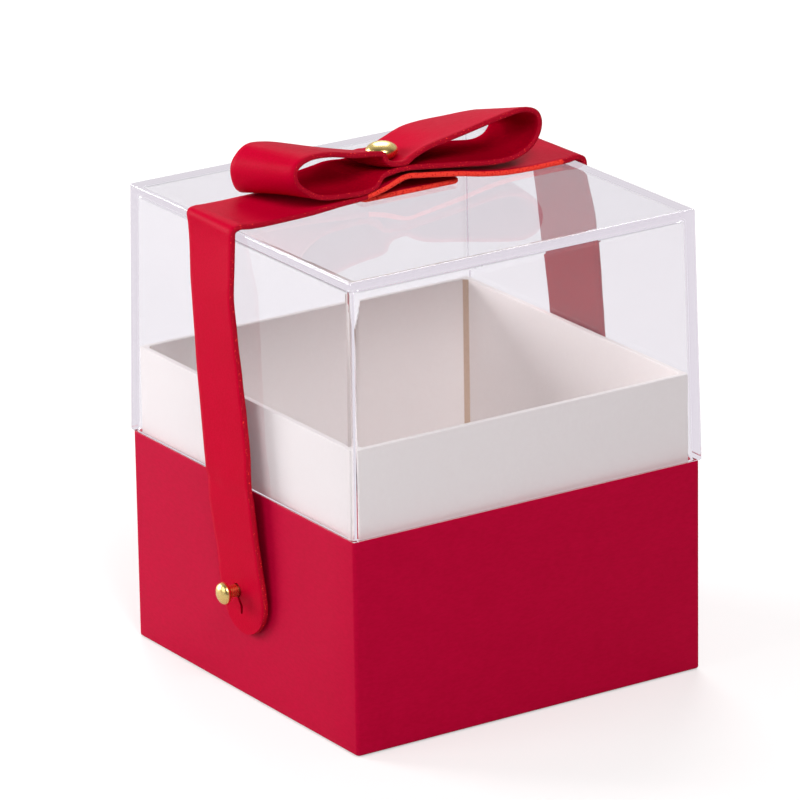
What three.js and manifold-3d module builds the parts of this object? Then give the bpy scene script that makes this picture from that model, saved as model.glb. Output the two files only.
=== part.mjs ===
// A gift box: a board base covered in red leatherette paper, a white collar standing in it,
// a clear moulded lid over the collar, and a leather strap with a bow across the lid.
// Each end of the strap buttons over a gold stud on a side of the base.
// Millimetres, +Z up. The origin is the middle of the underside.

import * as THREE from 'three';
import { mergeVertices } from 'three/addons/utils/BufferGeometryUtils.js';
import Module from 'manifold-3d';

const wasm = await Module();
wasm.setup();

// Base
const baseSide = 85;
const baseHeight = 46.3;
const baseEdgeRadius = 0.9;
const paper = 0.3;
const board = 1.2;
const underTurnIn = 12;
const rimTurnIn = 12;
const sheetMargin = 1.5;

// Collar and floor card, white board
const collarBoard = 1.2;
const collarRise = 18.7;
const collarFit = 0.1;
const collarGroove = 0.9;
const floorCard = 0.4;
const floorCardFit = 0.3;

// Lid, clear acrylic, moulded with draft
const lidHeight = 54;
const lidWall = 1.5;
const lidTopThickness = 2;
const lidOverhang = 0.38;
const lidDraftInset = 0.96;
const lidEdgeRadius = 0.5;
const lidInnerRadius = 1.3;

// Strap and bow, bonded leather
const leather = 1.1;
const layerGap = 0.1;
const strapWidth = 18;
const strapOffset = 8.3;
const strapGap = 0.3;
const foldTab = 1.0;
const foldStart = 1.8;
const buttonHole = 3.4;
const buttonSlit = 5;
const slitWidth = 0.6;
const tipShift = 2;
const humpReach = 34;
const humpCurl = 1.7;

// Patch under the strap, where the centre stud is fixed
const patchLength = 24.1;
const patchWidth = 14;
const patchShift = 2.75;
const patchCorner = 1.5;

// Studs, gold-plated brass: a ball on a neck, held by a flanged screw
const sideStudHeight = 23.6;
const sideBall = 4.7;
const sideBallThickness = 2.65;
const sideStandOff = 4.7;
const sideNeck = 2.6;
const sideScrewHead = 7;
const sideScrewHeadThickness = 0.6;
const centreBall = 6.8;
const centreBallThickness = 3.9;
const centreNeck = 3;
const centreScrewHead = 8;
const centreScrewHeadThickness = 1;
const screwShank = 1.4;
const studFit = 0.3;
const screwEndGap = 0.3;

// Bow: how far its pinch lies left of the middle, and how far and how high each loop reaches at the
// strip's near edge and at its far edge
const bowOffset = 1.4;
const bowWidth = 19;
const leftReachNear = 26.8;
const leftHeightNear = 9.2;
const leftReachFar = 30.4;
const leftHeightFar = 7.8;
const rightReachNear = 33.2;
const rightHeightNear = 10.4;
const rightReachFar = 33.4;
const rightHeightFar = 5.4;
const pinchCurlNear = 2.4;
const pinchCurlFar = 0.3;
const pinchReach = 5;

// How finely round and bent shapes are divided
const mergeDistance = 1e-5;
const turnedSides = 24;
const cornerSteps = 4;
const tipSteps = 16;
const ballSteps = 10;
const foldSteps = 6;
const humpSteps = 44;
const bowSteps = 100;
const acrossStrip = [-1, -0.5, 0, 0.5, 1];

// Materials
const redPaper = new THREE.MeshStandardMaterial({ color: 0xb0102c, roughness: 0.45, metalness: 0 });
const redLeather = new THREE.MeshStandardMaterial({ color: 0xc00020, roughness: 0.5, metalness: 0 });
const whiteBoard = new THREE.MeshStandardMaterial({ color: 0xf2f0ee, roughness: 0.85, metalness: 0 });
const greyBoard = new THREE.MeshStandardMaterial({ color: 0xa89a88, roughness: 0.95, metalness: 0 });
const clearAcrylic = new THREE.MeshStandardMaterial({
  color: 0xf4f4f8,
  roughness: 0.05,
  metalness: 0,
  transparent: true,
  opacity: 0.3,
});
const gold = new THREE.MeshStandardMaterial({ color: 0xe0c060, roughness: 0.2, metalness: 1 });

// Levels, places and half widths that follow from the sizes above
const bowX = -bowOffset;
const baseHalf = baseSide / 2;
const boardOuter = baseHalf - paper;
const boardInner = boardOuter - board;
const turnInInner = boardInner - paper;
const floorTop = 2 * paper + board;
const collarOuter = turnInInner - collarFit;
const collarInner = collarOuter - collarBoard;
const lidOpenHalf = baseHalf + lidOverhang;
const lidTopHalf = lidOpenHalf - lidDraftInset;
const lidTop = baseHeight + lidHeight;
const lidDraft = Math.atan(lidDraftInset / lidHeight);
const patchTop = lidTop + leather;
const strapSeat = patchTop + centreScrewHeadThickness + 2 * layerGap;
const bowSeat = strapSeat + leather + layerGap;
const bowTop = bowSeat + 2 * leather + 2 * layerGap;

// Turns a closed geometry into a solid that can be joined and cut
function toSolid(geometry) {
  const plain = geometry.clone();
  plain.deleteAttribute('normal');
  plain.deleteAttribute('uv');
  const merged = mergeVertices(plain, mergeDistance);
  const triangles = [];
  for (let i = 0; i < merged.index.count; i += 3) {
    const [a, b, c] = [0, 1, 2].map((k) => merged.index.getX(i + k));
    if (a !== b && b !== c && c !== a) triangles.push(a, b, c);
  }
  return new wasm.Manifold(new wasm.Mesh({
    numProp: 3,
    vertProperties: new Float32Array(merged.attributes.position.array),
    triVerts: new Uint32Array(triangles),
  }));
}

function toMesh(name, solid, material) {
  const { vertProperties, triVerts } = solid.getMesh();
  const geometry = new THREE.BufferGeometry();
  geometry.setAttribute('position', new THREE.BufferAttribute(new Float32Array(vertProperties), 3));
  geometry.setIndex(new THREE.BufferAttribute(new Uint32Array(triVerts), 1));
  geometry.computeVertexNormals();
  const mesh = new THREE.Mesh(geometry, material);
  mesh.name = name;
  return mesh;
}

// A box between two corners
function boxBetween(x0, y0, z0, x1, y1, z1) {
  const box = new THREE.BoxGeometry(x1 - x0, y1 - y0, z1 - z0);
  box.translate((x0 + x1) / 2, (y0 + y1) / 2, (z0 + z1) / 2);
  return toSolid(box);
}

function roundedRectangle(halfX, halfY, radius) {
  const shape = new THREE.Shape();
  const x = halfX - radius;
  const y = halfY - radius;
  shape.absarc(x, y, radius, 0, Math.PI / 2);
  shape.absarc(-x, y, radius, Math.PI / 2, Math.PI);
  shape.absarc(-x, -y, radius, Math.PI, 1.5 * Math.PI);
  shape.absarc(x, -y, radius, 1.5 * Math.PI, 2 * Math.PI);
  return shape;
}

// A square prism with rounded edges whose half width may change from bottom to top
function squarePrism(half, radius, bottom, top, topHalf = half) {
  const options = { depth: top - bottom, bevelEnabled: false, curveSegments: cornerSteps };
  const prism = new THREE.ExtrudeGeometry(roundedRectangle(half, half, radius), options);
  const position = prism.attributes.position;
  for (let i = 0; i < position.count; i++) {
    const scale = position.getZ(i) > 0 ? topHalf / half : 1;
    position.setX(i, position.getX(i) * scale);
    position.setY(i, position.getY(i) * scale);
  }
  prism.translate(0, 0, bottom);
  return toSolid(prism);
}

// A square prism whose four vertical edges are cut off flat
function chamferedPrism(half, chamfer, bottom, top) {
  const shape = new THREE.Shape();
  const flat = half - chamfer;
  const corners = [[flat, half], [-flat, half], [-half, flat], [-half, -flat]];
  corners.push([-flat, -half], [flat, -half], [half, -flat], [half, flat]);
  shape.setFromPoints(corners.map(([x, y]) => new THREE.Vector2(x, y)));
  const prism = new THREE.ExtrudeGeometry(shape, { depth: top - bottom, bevelEnabled: false });
  prism.translate(0, 0, bottom);
  return toSolid(prism);
}

// A cylinder along X between two places
function cylinderAlongX(radius, x0, x1, z) {
  const cylinder = new THREE.CylinderGeometry(radius, radius, Math.abs(x1 - x0), turnedSides);
  cylinder.rotateZ(Math.PI / 2);
  cylinder.translate((x0 + x1) / 2, 0, z);
  return toSolid(cylinder);
}

function cylinderAlongZ(radius, x, y, z0, z1) {
  const cylinder = new THREE.CylinderGeometry(radius, radius, z1 - z0, turnedSides);
  cylinder.rotateX(Math.PI / 2);
  cylinder.translate(x, y, (z0 + z1) / 2);
  return toSolid(cylinder);
}

// A turned piece along +Z from a list of [radius, height] pairs
function turned(profile) {
  const points = profile.map(([r, z]) => new THREE.Vector2(r, z));
  const piece = new THREE.LatheGeometry(points, turnedSides);
  piece.rotateX(Math.PI / 2);
  return toSolid(piece);
}

// Joins cross-sections, each a ring of points, into one body with end caps or into a closed band
function loft(rings, closed) {
  const count = rings[0].length;
  const index = [];
  const spans = closed ? rings.length : rings.length - 1;
  for (let i = 0; i < spans; i++) {
    const a = i * count;
    const b = ((i + 1) % rings.length) * count;
    for (let j = 0; j < count; j++) {
      const k = (j + 1) % count;
      index.push(a + j, b + k, b + j, a + j, a + k, b + k);
    }
  }
  const last = (rings.length - 1) * count;
  const across = count / 2;
  for (let j = 0; !closed && j < across - 1; j++) {
    const far = count - 1 - j;
    index.push(j, far, far - 1, j, far - 1, j + 1);
    index.push(last + j, last + far - 1, last + far, last + j, last + j + 1, last + far - 1);
  }
  const geometry = new THREE.BufferGeometry();
  const position = rings.flat().flatMap((p) => [p.x, p.y, p.z]);
  geometry.setAttribute('position', new THREE.BufferAttribute(new Float32Array(position), 3));
  geometry.setIndex(index);
  return toSolid(geometry);
}

// Base: boards, cover paper and bottom sheet
function baseBoards() {
  const cut = squarePrism(boardOuter, baseEdgeRadius - paper, 2 * paper, baseHeight - paper);
  const low = 2 * paper;
  const high = baseHeight - paper;
  const front = boxBetween(-boardOuter, -boardOuter, low, boardOuter, -boardInner, high);
  const back = boxBetween(-boardOuter, boardInner, low, boardOuter, boardOuter, high);
  const bottom = boxBetween(-boardInner, -boardInner, low, boardInner, boardInner, floorTop);
  const pieces = [
    toMesh('base_front_board', front.intersect(cut), greyBoard),
    toMesh('base_back_board', back.intersect(cut), greyBoard),
    toMesh('base_bottom_board', bottom, greyBoard),
  ];
  for (const [name, side] of [['base_left_board', -1], ['base_right_board', 1]]) {
    const edges = [side * boardInner, side * boardOuter].sort((a, b) => a - b);
    const plate = boxBetween(edges[0], -boardInner, low, edges[1], boardInner, high);
    const holeRadius = screwShank / 2 + studFit;
    const hole = cylinderAlongX(holeRadius, side * collarInner, side * baseSide, sideStudHeight);
    const pocketRadius = sideScrewHead / 2 + studFit;
    const pocketEnd = side * (boardInner + sideScrewHeadThickness + layerGap);
    const pocket = cylinderAlongX(pocketRadius, side * collarInner, pocketEnd, sideStudHeight);
    pieces.push(toMesh(name, plate.subtract(hole).subtract(pocket), greyBoard));
  }
  return pieces;
}

function coverPaper() {
  const outer = squarePrism(baseHalf, baseEdgeRadius, paper, baseHeight);
  const boards = squarePrism(boardOuter, baseEdgeRadius - paper, 2 * paper, baseHeight - paper);
  const inside = squarePrism(boardInner, paper, 2 * paper, baseHeight - paper - rimTurnIn);
  const mouth = squarePrism(turnInInner, paper, 2 * paper, baseHeight + paper);
  const underHalf = baseHalf - underTurnIn;
  const underside = boxBetween(-underHalf, -underHalf, 0, underHalf, underHalf, 3 * paper);
  const hole = cylinderAlongX(screwShank / 2 + studFit, -baseSide, baseSide, sideStudHeight);
  const ring = squarePrism(boardInner, paper, baseHeight - paper - rimTurnIn, baseHeight - paper);
  const folded = outer.subtract(boards).add(ring).subtract(inside).subtract(mouth);
  return toMesh('cover_paper', folded.subtract(underside).subtract(hole), redPaper);
}

function bottomSheet() {
  const half = baseHalf - sheetMargin;
  return toMesh('bottom_sheet', boxBetween(-half, -half, 0, half, half, paper), redPaper);
}

// Collar: one strip of white board, grooved on the inside and folded at the corners
function collar() {
  const top = baseHeight + collarRise;
  const outer = squarePrism(collarOuter, paper, floorTop, top);
  const inner = chamferedPrism(collarInner, collarGroove, floorTop - paper, top + paper);
  return toMesh('collar', outer.subtract(inner), whiteBoard);
}

function floorCardPiece() {
  const half = collarInner - floorCardFit;
  const card = chamferedPrism(half, collarGroove, floorTop, floorTop + floorCard);
  return toMesh('floor_card', card, whiteBoard);
}

function lid() {
  const ceiling = lidTop - lidTopThickness;
  const ceilingHalf = lidOpenHalf - lidWall - lidDraftInset * (1 - lidTopThickness / lidHeight);
  const outer = squarePrism(lidOpenHalf, lidEdgeRadius, baseHeight, lidTop, lidTopHalf);
  const inner = squarePrism(lidOpenHalf - lidWall, lidInnerRadius, baseHeight, ceiling, ceilingHalf);
  return toMesh('lid_shell', outer.subtract(inner), clearAcrylic);
}

// The ball of a stud, flattened along its axis, as [radius, height] pairs from its neck to its top
function ballProfile(diameter, thickness, centre, neckRadius) {
  const start = Math.asin(neckRadius / (diameter / 2));
  const points = [];
  for (let i = 0; i < ballSteps; i++) {
    const angle = start + ((Math.PI - start) * i) / ballSteps;
    points.push([(diameter / 2) * Math.sin(angle), centre - (thickness / 2) * Math.cos(angle)]);
  }
  return [...points, [0, centre + thickness / 2]];
}

// A ball stud standing on height 0, with a bore for its screw
function studHead(diameter, thickness, centre, neckDiameter, boreDepth) {
  const bore = screwShank / 2 + studFit;
  const neck = Math.max(neckDiameter / 2, bore + studFit);
  const foot = [[0, boreDepth], [bore, boreDepth], [bore, 0], [neck, 0]];
  return turned([...foot, ...ballProfile(diameter, thickness, centre, neck)]);
}

// A flanged screw whose flange top is at height 0
function studScrew(headDiameter, headThickness, shankLength) {
  const shank = screwShank / 2;
  const head = headDiameter / 2;
  const flange = [[0, -headThickness], [head, -headThickness], [head, 0], [shank, 0]];
  return turned([...flange, [shank, shankLength], [0, shankLength]]);
}

// Cross-section of the strap, with its near edge lifted by curl
function strapRing(x, z, normalX, normalZ, centreY, curl) {
  const side = (offset, list) => list.map((s) => new THREE.Vector3(
    x + normalX * offset,
    centreY + (s * strapWidth) / 2,
    z + normalZ * offset + curl * Math.min(s, 0) ** 2,
  ));
  return [...side(0, acrossStrip), ...side(leather, [...acrossStrip].reverse())];
}

// How the strap rises over the stack under the centre stud: [share of the hump's reach from the
// stud, share of the stack's height, share of the curl of its near edge]
const strapHump = [
  [-1, 0, 0], [-0.7, 0.1, 0], [-0.47, 0.36, 0], [-0.3, 0.52, 0], [-0.15, 0.86, 0.15], [0, 1, 1],
  [0.12, 1, 0.76], [0.26, 1, 0.35], [0.41, 0.85, 0.06], [0.56, 0.45, 0], [0.74, 0.1, 0], [0.94, 0, 0],
];

function strapTopRun() {
  const rings = [];
  const slope = (strapOffset + tipShift) / (lidTop - sideStudHeight);
  const foldRings = (side) => {
    const startAngle = Math.PI / 2 - lidDraft;
    const folds = [[-foldTab, startAngle]];
    for (let i = 0; i <= foldSteps; i++) folds.push([0, startAngle * (1 - i / foldSteps)]);
    return folds.map(([drop, angle]) => strapRing(
      side * (lidTopHalf - drop * Math.sin(lidDraft) + strapGap * Math.sin(angle)),
      lidTop + drop * Math.cos(lidDraft) + strapGap * Math.cos(angle),
      side * Math.sin(angle),
      Math.cos(angle),
      strapOffset + drop * slope,
      0,
    ));
  };
  const stack = strapSeat - lidTop - strapGap;
  const hump = strapHump.map(([reach, rise, curl]) => new THREE.Vector3(
    bowX + reach * humpReach,
    lidTop + strapGap + rise * stack,
    curl * humpCurl,
  ));
  const stations = new THREE.CatmullRomCurve3(hump).getPoints(humpSteps);
  rings.push(...foldRings(-1));
  rings.push(...stations.map((p) => strapRing(p.x, p.y, 0, 1, strapOffset, p.z)));
  rings.push(...foldRings(1).reverse());
  const hole = cylinderAlongZ(centreNeck / 2 + studFit, bowX, strapOffset, lidTop, bowTop);
  return toMesh('strap_top_run', loft(rings, false).subtract(hole), redLeather);
}

// One hanging end of the strap, in the frame of the fold: +X out of the lid's face, +Z up along it.
// Its middle line passes beside the stud, which holds the strap nearer its far edge.
function strapEnd(name, side) {
  const drop = (lidTop - sideStudHeight) / Math.cos(lidDraft);
  const reach = Math.hypot(drop, strapOffset);
  const slant = side * (Math.atan(strapOffset / drop) + Math.asin(tipShift / reach));
  const length = Math.sqrt(reach * reach - tipShift * tipShift);
  const middle = -side * tipShift;
  const half = strapWidth / 2;
  const skew = half * Math.tan(slant);
  const top = length - foldStart / Math.cos(slant);
  const shape = new THREE.Shape();
  shape.moveTo(middle + half, top + skew);
  shape.lineTo(middle - half, top - skew);
  shape.absarc(middle, 0, half, Math.PI, 2 * Math.PI);
  const radius = buttonHole / 2;
  const opening = Math.asin(slitWidth / 2 / radius);
  const keyhole = new THREE.Path();
  keyhole.absarc(0, 0, radius, -Math.PI / 2 + opening, 1.5 * Math.PI - opening);
  keyhole.lineTo(-slitWidth / 2, -radius - buttonSlit);
  keyhole.lineTo(slitWidth / 2, -radius - buttonSlit);
  shape.holes.push(keyhole);
  const options = { depth: leather, bevelEnabled: false, curveSegments: tipSteps };
  const plate = new THREE.ExtrudeGeometry(shape, options);
  plate.rotateX(Math.PI / 2);
  plate.rotateZ(Math.PI / 2);
  plate.translate(strapGap, 0, 0);
  plate.rotateX(-slant);
  plate.translate(0, 0, -drop);
  return toMesh(name, toSolid(plate), redLeather);
}

function patch() {
  const shape = roundedRectangle(patchLength / 2, patchWidth / 2, patchCorner);
  const options = { depth: leather, bevelEnabled: false, curveSegments: cornerSteps };
  const plate = new THREE.ExtrudeGeometry(shape, options);
  plate.translate(bowX + patchShift, strapOffset, lidTop);
  return toMesh('stud_patch', toSolid(plate), redLeather);
}

// The bow's strip runs from its pinch under and over the left loop, and over and under the right one.
// Each row matches a point on the strip's near edge with one on its far edge, both as
// [share of the reach, share of the height].
const leftLoop = [
  [[0.12, 0.3], [0.12, 0.08]], [[0.21, 0.25], [0.22, 0.1]], [[0.26, 0.11], [0.29, 0.1]],
  [[0.32, 0.01], [0.36, 0.06]], [[0.43, -0.04], [0.48, 0.01]], [[0.66, 0], [0.66, -0.08]],
  [[0.81, 0.1], [0.81, -0.14]], [[0.95, 0.37], [0.94, -0.08]], [[1, 0.64], [1, 0.26]],
  [[0.97, 0.87], [0.99, 0.67]], [[0.86, 1], [0.89, 1]], [[0.69, 0.99], [0.74, 0.97]],
  [[0.47, 0.86], [0.55, 0.78]], [[0.29, 0.78], [0.38, 0.58]], [[0.21, 0.72], [0.22, 0.41]],
  [[0.16, 0.57], [0.13, 0.32]], [[0.1, 0.46], [0.06, 0.25]],
];
const rightLoop = [
  [[0.06, 0.52], [0.07, 0.39]], [[0.17, 0.63], [0.19, 0.63]], [[0.32, 0.71], [0.32, 0.91]],
  [[0.47, 0.8], [0.46, 1]], [[0.62, 0.89], [0.64, 1]], [[0.76, 0.97], [0.81, 1]],
  [[0.88, 1], [0.92, 0.94]], [[0.97, 0.89], [0.98, 0.72]], [[1, 0.67], [1, 0.43]],
  [[0.98, 0.41], [0.98, 0.15]], [[0.92, 0.19], [0.93, -0.07]], [[0.8, 0.05], [0.84, -0.17]],
  [[0.65, 0.03], [0.69, -0.06]], [[0.43, 0.12], [0.46, 0.08]], [[0.2, 0.21], [0.19, 0.17]],
];

// The strip's near edge, middle and far edge as closed curves. The stud presses the middle down.
function bowGuides() {
  const low = leather / 2 + layerGap;
  const high = low + leather + layerGap;
  const loop = (outline, edge, reach, height) => outline.map(
    (pair) => [reach * pair[edge][0], height * pair[edge][1]],
  );
  const line = (edge, curl, left, right) => [
    [0, low + curl],
    ...loop(leftLoop, edge, -left[0], left[1]),
    [0, high + curl],
    ...loop(rightLoop, edge, right[0], right[1]),
  ];
  const near = line(0, pinchCurlNear, [leftReachNear, leftHeightNear], [rightReachNear, rightHeightNear]);
  const far = line(1, pinchCurlFar, [leftReachFar, leftHeightFar], [rightReachFar, rightHeightFar]);
  const middle = near.map(([nearX, nearZ], i) => {
    const x = (nearX + far[i][0]) / 2;
    const pressed = i > leftLoop.length / 2 && i < leftLoop.length + rightLoop.length / 2 ? high : low;
    const share = Math.exp(-((x / pinchReach) ** 2));
    return [x, share * pressed + ((1 - share) * (nearZ + far[i][1])) / 2];
  });
  const half = bowWidth / 2;
  return [[near, -half], [middle, 0], [far, half]].map(([points, y]) => new THREE.CatmullRomCurve3(
    points.map(([x, z]) => new THREE.Vector3(bowX + x, strapOffset + y, bowSeat + z)),
    true,
  ));
}

function bow() {
  const guides = bowGuides();
  // Value across the strip, from -1 at its near edge to 1 at its far edge
  const across = ([near, middle, far], s) => near.clone().multiplyScalar((s * s - s) / 2)
    .addScaledVector(middle, 1 - s * s)
    .addScaledVector(far, (s * s + s) / 2);
  const rings = [];
  for (let i = 0; i < bowSteps; i++) {
    const points = guides.map((guide) => guide.getPoint(i / bowSteps));
    const tangents = guides.map((guide) => guide.getTangent(i / bowSteps));
    const face = (offset) => acrossStrip.map((s) => {
      const tangent = across(tangents, s);
      const out = new THREE.Vector3(tangent.z, 0, -tangent.x).setLength(offset);
      return across(points, s).add(out);
    });
    rings.push([...face(leather / 2), ...face(-leather / 2).reverse()]);
  }
  const hole = cylinderAlongZ(centreNeck / 2 + studFit, bowX, strapOffset, lidTop, bowTop + leather);
  return toMesh('bow_strip', loft(rings, true).subtract(hole), redLeather);
}

function centreStud() {
  const foot = strapSeat;
  const centre = bowTop + layerGap + centreBallThickness / 2 - foot;
  const headSolid = studHead(centreBall, centreBallThickness, centre, centreNeck, centre);
  const head = toMesh('centre_stud', headSolid, gold);
  head.position.set(bowX, strapOffset, foot);
  const flangeTop = patchTop + centreScrewHeadThickness;
  const shankLength = foot + centre - screwEndGap - flangeTop;
  const screwSolid = studScrew(centreScrewHead, centreScrewHeadThickness, shankLength);
  const screw = toMesh('centre_stud_screw', screwSolid, gold);
  screw.position.set(bowX, strapOffset, flangeTop);
  return [head, screw];
}

// What sits on one side of the box, drawn for the +X side: stud, screw and strap end
function sideParts(name, side) {
  const group = new THREE.Group();
  const headSolid = studHead(sideBall, sideBallThickness, sideStandOff, sideNeck, sideStandOff);
  const head = toMesh(`${name}_stud`, headSolid, gold);
  head.rotation.y = Math.PI / 2;
  head.position.set(baseHalf, 0, sideStudHeight);
  const flangeTop = boardInner + sideScrewHeadThickness;
  const shankLength = baseHalf + sideStandOff - screwEndGap - flangeTop;
  const screwSolid = studScrew(sideScrewHead, sideScrewHeadThickness, shankLength);
  const screw = toMesh(`${name}_stud_screw`, screwSolid, gold);
  screw.rotation.y = Math.PI / 2;
  screw.position.set(flangeTop, 0, sideStudHeight);
  const fold = new THREE.Group();
  fold.position.set(lidTopHalf, 0, lidTop);
  fold.rotation.y = -lidDraft;
  fold.add(strapEnd(`${name}_strap_end`, side));
  group.add(head, screw, fold);
  group.rotation.z = side > 0 ? 0 : Math.PI;
  return group;
}

const box = new THREE.Group();
box.add(...baseBoards(), coverPaper(), bottomSheet(), collar(), floorCardPiece());
box.add(lid(), patch(), strapTopRun(), bow(), ...centreStud());
box.add(sideParts('left', -1), sideParts('right', 1));

export default box;
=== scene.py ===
# A gift box: a board base covered in red leatherette paper, a white collar standing in it, a clear
# moulded lid over the collar, and a leather strap with a bow. The strap buttons over gold studs.
# Metres, +Z up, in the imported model's own frame.
import math

import bpy
from mathutils import Matrix, Vector

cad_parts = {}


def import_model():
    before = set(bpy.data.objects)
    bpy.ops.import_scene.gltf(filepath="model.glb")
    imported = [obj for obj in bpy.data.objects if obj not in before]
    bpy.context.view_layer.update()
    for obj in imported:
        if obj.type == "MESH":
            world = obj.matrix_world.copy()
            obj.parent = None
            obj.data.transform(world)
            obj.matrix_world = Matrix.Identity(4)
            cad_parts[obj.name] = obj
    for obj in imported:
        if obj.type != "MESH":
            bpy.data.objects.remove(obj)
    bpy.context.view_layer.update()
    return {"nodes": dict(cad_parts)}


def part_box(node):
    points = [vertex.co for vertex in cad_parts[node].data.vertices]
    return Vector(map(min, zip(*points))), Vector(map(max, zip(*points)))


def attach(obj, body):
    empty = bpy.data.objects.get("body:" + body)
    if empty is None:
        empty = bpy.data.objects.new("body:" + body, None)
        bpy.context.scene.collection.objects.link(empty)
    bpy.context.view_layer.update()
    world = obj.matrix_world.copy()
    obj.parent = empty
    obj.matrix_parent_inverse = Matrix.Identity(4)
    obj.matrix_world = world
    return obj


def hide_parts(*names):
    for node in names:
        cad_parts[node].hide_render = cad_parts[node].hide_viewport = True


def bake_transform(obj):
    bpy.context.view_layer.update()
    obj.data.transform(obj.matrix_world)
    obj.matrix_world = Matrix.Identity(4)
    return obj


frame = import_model()
nodes = frame["nodes"]
scene = bpy.context.scene

MM = 0.001

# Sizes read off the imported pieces
BASE_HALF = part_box("cover_paper")[1].x
BASE_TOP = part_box("cover_paper")[1].z
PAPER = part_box("cover_paper")[0].z
BOARD_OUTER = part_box("base_right_board")[1].x
BOARD_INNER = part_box("base_right_board")[0].x
COLLAR_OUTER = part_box("collar")[1].x
COLLAR_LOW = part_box("collar")[0].z
COLLAR_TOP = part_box("collar")[1].z
LID_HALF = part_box("lid_shell")[1].x
LID_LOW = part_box("lid_shell")[0].z
LID_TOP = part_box("lid_shell")[1].z
PATCH_LOW, PATCH_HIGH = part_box("stud_patch")
LEATHER = PATCH_HIGH.z - PATCH_LOW.z
BOW_LOW, BOW_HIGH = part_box("bow_strip")
STRAP_LOW, STRAP_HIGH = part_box("strap_top_run")
STRAP_Y = (STRAP_LOW.y + STRAP_HIGH.y) / 2
STRAP_WIDTH = STRAP_HIGH.y - STRAP_LOW.y
CENTRE_STUD_LOW, CENTRE_STUD_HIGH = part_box("centre_stud")
STUD_X = (CENTRE_STUD_LOW.x + CENTRE_STUD_HIGH.x) / 2
SIDE_STUD_LOW, SIDE_STUD_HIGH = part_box("right_stud")
SIDE_STUD_Z = (SIDE_STUD_LOW.z + SIDE_STUD_HIGH.z) / 2

# Sizes the boxes don't give
PAPER_EDGE_RADIUS = 0.9 * MM
PAPER_LEAST_RADIUS = 0.05 * MM
RIM_TURN_IN = 12 * MM
UNDER_TURN_IN = 12 * MM
FOLD_RADIUS = 0.45 * MM
LAP_PLACE = 9.5 * MM
LAP_STEP = 0.12 * MM
LAP_SLOPE = 2 * MM
# The share of the wall's height where the lap shows
LAP_SPAN = (0.02, 0.96)
COLLAR_BOARD = 1.2 * MM
COLLAR_GROOVE = 0.9 * MM
COLLAR_CORNER = 0.4 * MM
COLLAR_EDGE = 0.12 * MM
LID_WALL = 1.5 * MM
LID_ROOF = 2 * MM
LID_DRAFT = 0.96 * MM
LID_EDGE = 0.5 * MM
LID_INNER_EDGE = 1.3 * MM
LID_RIM_EASE = 0.25 * MM
LID_TOP_EASE = 0.9 * LID_EDGE
LID_CEILING_RADIUS = 0.9 * MM
CUT_EDGE = 0.28 * MM
PATCH_CORNER = 1.5 * MM
LAYER_GAP = 0.1 * MM
SIDE_NECK = 2.6 * MM
SIDE_BALL_THICKNESS = 2.65 * MM
CENTRE_NECK = 3 * MM
CENTRE_BALL_THICKNESS = 3.9 * MM
STUD_FOOT = 0.3 * MM
FOOT_FLARE = 0.25 * MM

# Steps in round stretches and along smoothed ones
FOLD_STEPS = 5
PAPER_CORNER_STEPS = 8
COLLAR_CORNER_STEPS = 4
LID_CORNER_STEPS = 8
LID_CEILING_STEPS = 6
PATCH_CORNER_STEPS = 8
STRAP_STEPS = 6
TIP_STEPS = 15
BOW_STEPS = 8
HALF_WIDTH_STEPS = 6

# Angles in degrees above which an edge between two faces is drawn sharp
PAPER_CREASE = 40
COLLAR_CREASE = 30
LEATHER_CREASE = 50
STUD_CREASE = 40

# Camera, as fitted to the corners of the box in the photograph
CAMERA_PLACE = Vector((-699.44, -1069.04, 494.15)) * MM
CAMERA_AZIMUTH = 33.072
CAMERA_DOWN = 18.927
CAMERA_ROLL = -0.936
CAMERA_LENS = 293.2
CAMERA_SENSOR = 36

FLOOR_HALF = 1.5


# Turns a colour written as hex sRGB into the linear values that shaders take
def linear(hex_colour):
    channels = [int(hex_colour[i:i + 2], 16) / 255 for i in (1, 3, 5)]
    return (*[c / 12.92 if c <= 0.04045 else ((c + 0.055) / 1.055) ** 2.4 for c in channels], 1.0)


# Adds a node with its settings, and sets or links its inputs
def add(tree, kind, inputs=None, **settings):
    made = tree.nodes.new(kind)
    for name, value in settings.items():
        setattr(made, name, value)
    for key, value in (inputs or {}).items():
        if isinstance(value, bpy.types.NodeSocket):
            tree.links.new(value, made.inputs[key])
        else:
            made.inputs[key].default_value = value
    return made


# An empty material with its output node
def new_material(name):
    material = bpy.data.materials.new(name)
    material.use_nodes = True
    material.node_tree.nodes.clear()
    output = add(material.node_tree, "ShaderNodeOutputMaterial")
    return material, material.node_tree, output


# Inputs of the colour Mix node
MIX_FACTOR = 0
MIX_A = 6
MIX_B = 7
MIX_RESULT = 2


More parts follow.
